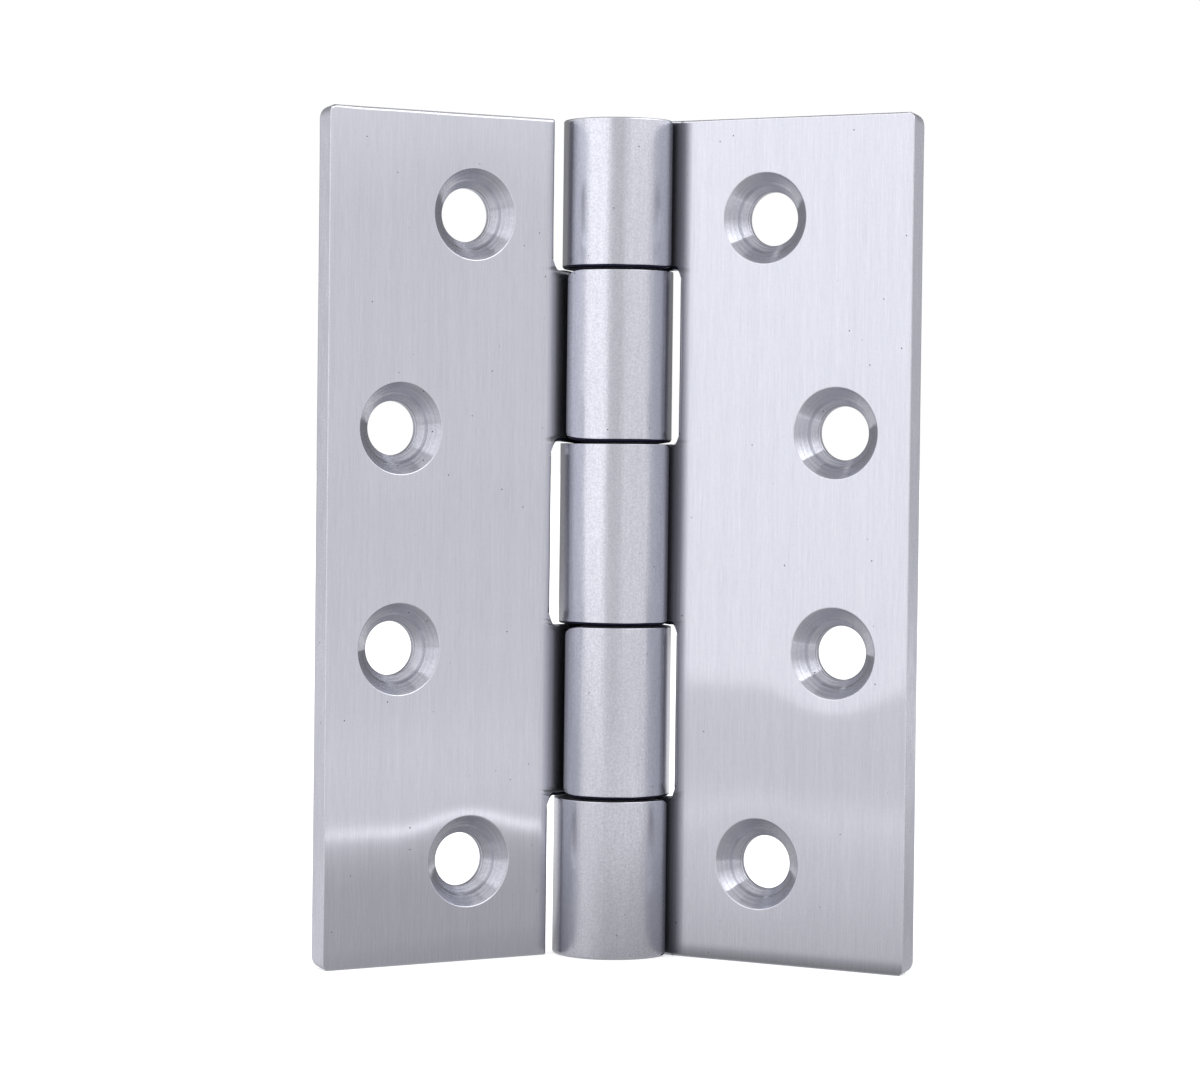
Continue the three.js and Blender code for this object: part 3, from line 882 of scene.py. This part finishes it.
finished(
    leaf_mesh(
        "jamb_leaf_sheet",
        LeafGrid(spans[0::2], notch_reach=7.75 * MM, root=(0.6 * MM, 0.9 * MM),
                 tab_end=math.radians(6), clip=(1.2 * MM, 0.5 * MM)),
        KNUCKLES_PROUD[0::2], barrel_shade=(0.85, 2.75 * MM, 1.7 * MM), top_rim=0.5, seed=10,
        upright=1, place=on_pin),
    leaf_finishes, "jamb", "jamb_leaf")

# The door leaf is rolled the same way and turned over about its own normal, so its knuckles
# are counted from the other end.
finished(
    leaf_mesh(
        "door_leaf_sheet",
        LeafGrid([(-high, -low) for low, high in spans[1::2]], notch_reach=8.15 * MM,
                 root=(0.8 * MM, 1.1 * MM), tab_end=math.radians(3),
                 clip=(2.4 * MM, 1.0 * MM)),
        KNUCKLES_PROUD[1::2], barrel_shade=(0.35, 2 * MM, 0.8 * MM), top_rim=0.9, seed=20,
        upright=-1,
        place=on_pin @ Matrix.Rotation(DOOR_SWING, 4, "Z") @ Matrix.Rotation(math.pi, 4, "Y")),
    leaf_finishes, "door", "door_leaf")

finished(
    lathe_mesh(
        "hinge_pin_rod",
        [(0, -PIN_HALF), (PIN_RADIUS - PIN_CHAMFER, -PIN_HALF),
         (PIN_RADIUS, PIN_CHAMFER - PIN_HALF), (PIN_RADIUS, PIN_HALF - PIN_CHAMFER),
         (PIN_RADIUS - PIN_CHAMFER, PIN_HALF), (0, PIN_HALF)],
        [PIN_END, PIN_END, PIN_FLANK, PIN_END, PIN_END], on_pin),
    pin_finishes, "jamb", "hinge_pin")


# ---- Studio ----
CAMERA_AZIMUTH = math.radians(28.70)
CAMERA_DISTANCE = 422.84 * MM
CAMERA_ABOVE_MIDDLE = 11.31 * MM
CAMERA_YAW = math.radians(0.245)
CAMERA_PITCH = math.radians(-1.564)
CAMERA_ROLL = math.radians(0.667)
SENSOR = 36.0
LENS = 103.71

FLOOR_HALF = 6.0
LAMP_HEIGHT = 0.8
CEILING_HEIGHT = 0.7
BRIGHTEST_FLOOR = 1.8
FLOOR_GLOW = 0.55
SIGHTS_LEFT = math.radians(50)          # lines of sight that run further left than this
SIGHTS_RIGHT = math.radians(10)         # and those that run further right
# Painted brightness of the floor in the steel's reflections, over distance: painted shade by the
# hinge, white from about a hand's breadth of it.
FLOOR_LEFT = [(0.0, 0.33), (0.003, 0.42), (0.006, 0.55), (0.009, 0.74), (0.0125, 0.79),
              (0.027, 0.83), (0.053, 0.9), (0.07, 0.94), (0.095, 0.98), (0.127, 1.055),
              (0.15, 1.11), (0.2, 1.0), (0.27, 0.995), (0.35, 1.02), (0.5, 1.0)]
FLOOR_RIGHT = [(0.0, 0.5), (0.0167, 0.56), (0.0219, 0.595), (0.0347, 0.612), (0.058, 0.63),
               (0.071, 0.665), (0.084, 0.735), (0.09, 0.79), (0.1, 0.89), (0.109, 0.96),
               (0.122, 1.02), (0.2, 1.05), (0.3, 1.0), (0.6, 0.98)]
FLOOR_RIGHT_TURN = 12                   # degrees right of the camera, as FLOOR_RIGHT runs
# On the right a painted strip of light lies across the floor in the reflections, some way out from
# the hinge.
LIGHT_STRIP = [(0.0, 0.0), (0.106, 0.0), (0.1125, 0.12), (0.118, 0.42), (0.1228, 0.9),
               (0.1275, 0.42), (0.134, 0.1), (0.142, 0.0), (0.6, 0.0)]
STRIP_FADES = [(0.0, 0.0), (0.06, 0.0), (0.1, 1.0), (0.125, 1.0), (0.15, 0.35), (0.19, 0.0),
               (0.5, 0.0)]


def towards_camera(right, distance):
    """A point at that distance from the pin, right degrees round from the camera."""
    azimuth = CAMERA_AZIMUTH + math.radians(right)
    return PIN_AXIS + distance * np.array([math.sin(azimuth), -math.cos(azimuth), 0])


def make_camera():
    data = bpy.data.cameras.new("camera")
    data.lens = LENS
    data.sensor_width = SENSOR
    data.clip_start = 0.02
    data.clip_end = 50
    camera = bpy.data.objects.new("camera", data)
    bpy.context.scene.collection.objects.link(camera)
    place = towards_camera(0, CAMERA_DISTANCE)
    place[2] += CAMERA_ABOVE_MIDDLE
    camera.matrix_world = (
        Matrix.Translation(place)
        @ Matrix.Rotation(CAMERA_AZIMUTH + CAMERA_YAW, 4, "Z")
        @ Matrix.Rotation(math.pi / 2 + CAMERA_PITCH, 4, "X")
        @ Matrix.Rotation(CAMERA_ROLL, 4, "Z"))
    bpy.context.scene.camera = camera


def leaf_facing(rear):
    """How many degrees right of the camera a leaf's face looks, from its back's direction."""
    return math.degrees(math.atan2(-rear[0], rear[1]) - CAMERA_AZIMUTH)


def stage_sheet(name, corners, material):
    """A flat sheet of the studio, not part of the hinge."""
    mesh = bpy.data.meshes.new(name)
    mesh.from_pydata(corners, [], [range(len(corners))])
    sheet = bpy.data.objects.new(name, mesh)
    bpy.context.scene.collection.objects.link(sheet)
    mesh.materials.append(material)
    return sheet


def level_square(left, right, front, back, height):
    """The corners of a level rectangle."""
    return [(left, front, height), (right, front, height), (right, back, height),
            (left, back, height)]


def seen_in_mirrors(sheet):
    """Hides a sheet from all but mirrored rays."""
    sheet.visible_camera = False
    sheet.visible_diffuse = False
    sheet.visible_shadow = False


def glowing_board(name, low_light, high_light, low, high):
    """Emission that runs evenly from one strength at the low edge to another at the high."""
    material = bpy.data.materials.new(name)
    material.use_nodes = True
    tree = material.node_tree
    tree.nodes.clear()
    solid = add(tree, "ShaderNodeTexCoord").outputs["Object"]
    height = add(tree, "ShaderNodeSeparateXYZ", {"Vector": solid}).outputs["Z"]
    strength = add(tree, "ShaderNodeMapRange", {
        "Value": height, "From Min": low, "From Max": high,
        "To Min": low_light, "To Max": high_light})
    glow = add(tree, "ShaderNodeEmission", {"Color": (1, 1, 1, 1), "Strength": strength})
    add(tree, "ShaderNodeOutputMaterial", {"Surface": glow})
    return material


def board(name, facing, distance, start, end, low, high, low_light, high_light):
    """A board for the steel to mirror; only mirrored rays see it.

    It stands square to the direction facing, at that distance from the pin, from the
    direction start to the direction end, all in degrees right of the camera.
    """
    foot = [towards_camera(right, distance / math.cos(math.radians(right - facing)))
            for right in (start, end)]
    corners = [(*foot[k][:2], height) for k, height in ((0, low), (1, low), (1, high), (0, high))]
    seen_in_mirrors(stage_sheet(name, corners,
                                glowing_board(name, low_light, high_light, low, high)))


def floor_distance(tree, position, right):
    """How far the floor's point lies from the pin in the direction right, in degrees right
    of the camera."""
    direction = towards_camera(right, 1.0) - PIN_AXIS
    distance = add(tree, "ShaderNodeVectorMath", {0: position, 1: direction},
                   operation="DOT_PRODUCT").outputs["Value"]
    return add(tree, "ShaderNodeMath", {0: distance}, operation="ABSOLUTE")


def floor_tones(tree, distance, tones):
    """The floor's brightness as a curve over a distance. tones are (distance, brightness)."""
    span = tones[-1][0]
    place = add(tree, "ShaderNodeMath", {0: distance, 1: span}, operation="DIVIDE",
                use_clamp=True)
    curve = add(tree, "ShaderNodeFloatCurve", {"Value": place})
    line = curve.mapping.curves[0]
    for _ in tones[2:]:
        line.points.new(0.5, 0.5)
    for point, (reach, brightness) in zip(line.points, tones):
        point.location = (reach / span, brightness / BRIGHTEST_FLOOR)
        point.handle_type = "VECTOR"
    curve.mapping.update()
    return add(tree, "ShaderNodeMath", {0: curve, 1: BRIGHTEST_FLOOR}, operation="MULTIPLY")


def pale_floor():
    """A pale sweep. The camera sees it white, with the hinge's own soft shadow on it; the steel
    mirrors it as a painted glow, with painted shade towards the hinge, where the softboxes would
    light it less, and a painted strip of light on the right."""
    material = bpy.data.materials.new("pale_floor")
    material.use_nodes = True
    tree = material.node_tree
    tree.nodes.clear()
    matt = add(tree, "ShaderNodeBsdfDiffuse", {"Color": linear("#D8D8DA")})
    lit = add(tree, "ShaderNodeEmission", {"Color": (1, 1, 1, 1), "Strength": FLOOR_GLOW})
    seen = add(tree, "ShaderNodeAddShader", {0: matt, 1: lit})

    solid = add(tree, "ShaderNodeTexCoord").outputs["Object"]
    from_pin = add(tree, "ShaderNodeVectorMath", {0: solid, 1: tuple(PIN_AXIS)},
                   operation="SUBTRACT")
    left = floor_tones(tree, floor_distance(tree, from_pin, leaf_facing((0, 1, 0))),
                       FLOOR_LEFT)
    right = floor_tones(tree, floor_distance(tree, from_pin, FLOOR_RIGHT_TURN), FLOOR_RIGHT)
    strip = floor_tones(tree, floor_distance(tree, from_pin, leaf_facing(door_back)),
                        LIGHT_STRIP)
    fading = floor_tones(tree, floor_distance(tree, from_pin, 90), STRIP_FADES)
    right = add(tree, "ShaderNodeMath", {0: strip, 1: fading, 2: right},
                operation="MULTIPLY_ADD")
    # A leaf's lines of sight all run one way over the floor, so the way tells the side.
    camera_right = towards_camera(90, 1.0) - PIN_AXIS
    incoming = add(tree, "ShaderNodeNewGeometry").outputs["Incoming"]
    from_right = add(tree, "ShaderNodeVectorMath", {0: incoming, 1: camera_right},
                     operation="DOT_PRODUCT").outputs["Value"]
    share = add(tree, "ShaderNodeMapRange", {
        "Value": from_right, "From Min": math.sin(SIGHTS_LEFT), "From Max": math.sin(SIGHTS_RIGHT),
        "To Min": 0.0, "To Max": 1.0})
    tone = add(tree, "ShaderNodeMix", {"Factor": share, "A": left, "B": right})
    painted_reflection = add(tree, "ShaderNodeEmission", {"Color": (1, 1, 1, 1), "Strength": tone})
    path = add(tree, "ShaderNodeLightPath")
    surface = add(tree, "ShaderNodeMixShader", {
        0: path.outputs["Is Glossy Ray"], 1: seen, 2: painted_reflection})
    add(tree, "ShaderNodeOutputMaterial", {"Surface": surface})
    return material


def make_studio():
    world = bpy.data.worlds.new("studio")
    bpy.context.scene.world = world
    world.use_nodes = True
    background = world.node_tree.nodes["Background"]
    background.inputs["Color"].default_value = (1, 1, 1, 1)
    background.inputs["Strength"].default_value = 1.0

    stage_sheet("floor", level_square(-FLOOR_HALF, FLOOR_HALF, -FLOOR_HALF, FLOOR_HALF,
                                      FLOOR_HEIGHT), pale_floor())

    # A wide lamp overhead for the soft shadow on the floor; the steel doesn't mirror it.
    data = bpy.data.lights.new("overhead_lamp", "AREA")
    data.size = 1.0
    data.energy = math.pi
    lamp = bpy.data.objects.new("overhead_lamp", data)
    bpy.context.scene.collection.objects.link(lamp)
    lamp.matrix_world = Matrix.Translation(Vector(PIN_AXIS) + Vector((0, 0, LAMP_HEIGHT)))
    lamp.visible_camera = False
    lamp.visible_glossy = False

    # What the steel mirrors: a tall softbox on the left, standing square to the jamb leaf, a
    # raised one on the right, the grey camera side, and the dark room behind and overhead.
    floor = FLOOR_HEIGHT + MM
    jamb_faces = leaf_facing((0, 1, 0))
    board("left_softbox", jamb_faces, 0.42, -75, -20, floor, 0.5, 1.33, 1.9)
    board("right_softbox", 58, 0.6, 24, 92, 0.08, 0.75, 1.0, 3.8)
    board("rear_right", 114, 0.6, 100, 128, floor, 0.3, 0.7, 0.7)
    board("camera_side", -2, 0.45, -16, 12, floor, 0.3, 0.78, 0.78)
    board("dark_room", 164, 0.7, 128, 200, floor, 0.7, 0.25, 0.25)
    board("rear_left", 219, 0.7, 200, 238, floor, 0.7, 0.32, 0.32)
    x, y = PIN_AXIS[:2]
    seen_in_mirrors(stage_sheet(
        "dark_ceiling", level_square(x - 0.45, x + 0.12, y - 0.12, y + 0.45, CEILING_HEIGHT),
        glowing_board("dark_ceiling", 0.3, 0.3, 0.0, 1.0)))


make_camera()
make_studio()
bpy.context.scene.view_settings.view_transform = "Standard"
